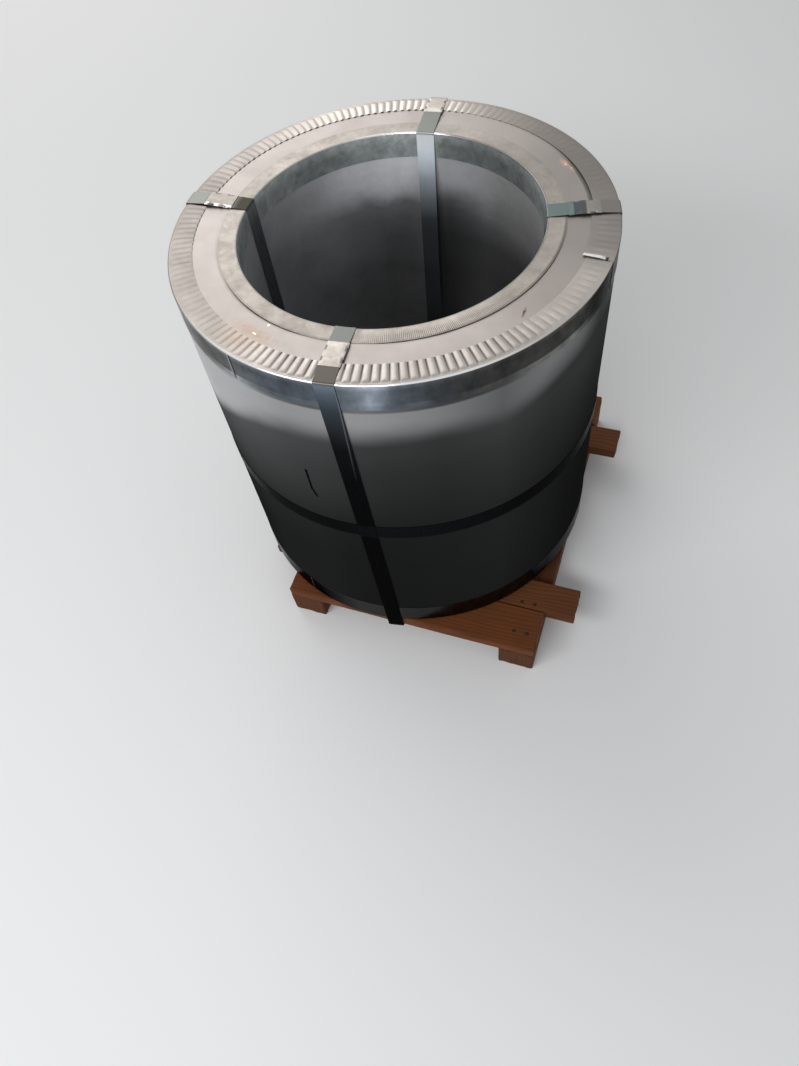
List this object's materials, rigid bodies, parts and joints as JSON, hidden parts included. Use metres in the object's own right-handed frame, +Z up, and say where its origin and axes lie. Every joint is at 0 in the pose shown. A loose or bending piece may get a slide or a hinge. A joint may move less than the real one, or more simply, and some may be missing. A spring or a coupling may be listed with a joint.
{
  "type": "steel coil",
  "caption": "Packed coil of galvanised steel strip, standing eye to sky on a wooden skid, with sheet wrap, pleated edge rings and steel straps.",
  "frame": {"origin": "middle of the whole load's box, at the floor under the skid; the coil's axis is at X -0.0234", "axes": "+Z up, parallel to the coil's axis, +X along the deck boards, +Y along the bearers"},
  "size_m": [0.7842, 0.737, 0.79],
  "materials": {
    "coil_strip": "satin",
    "liner_sheet": "satin",
    "wrap_sheet": "satin",
    "disc_sheet": "satin",
    "ring_sheet": "satin",
    "inner_ring_sheet": "satin",
    "strap_steel": "satin",
    "seal_steel": "satin",
    "skid_wood": "matt",
    "nail_steel": "matt"
  },
  "bodies": {
    "root": {"strip_coil": "coil_strip", "bore_liner": "liner_sheet", "outer_wrap": "wrap_sheet", "top_end_disc": "disc_sheet", "bottom_end_disc": "disc_sheet", "top_outer_ring": "ring_sheet", "bottom_outer_ring": "ring_sheet", "top_inner_ring": "inner_ring_sheet", "bottom_inner_ring": "inner_ring_sheet", "belly_strap": "strap_steel", "belly_seal": "seal_steel", "eye_strap_front": "strap_steel", "eye_seal_front": "seal_steel", "eye_strap_right": "strap_steel", "eye_seal_right": "seal_steel", "eye_strap_back": "strap_steel", "eye_seal_back": "seal_steel", "eye_strap_left": "strap_steel", "eye_seal_left": "seal_steel", "front_outer_board": "skid_wood", "front_outer_nails": "nail_steel", "front_inner_board": "skid_wood", "front_inner_nails": "nail_steel", "back_outer_board": "skid_wood", "back_outer_nails": "nail_steel", "back_inner_board": "skid_wood", "back_inner_nails": "nail_steel", "left_bearer": "skid_wood", "right_bearer": "skid_wood"}
  },
  "joints": []
}
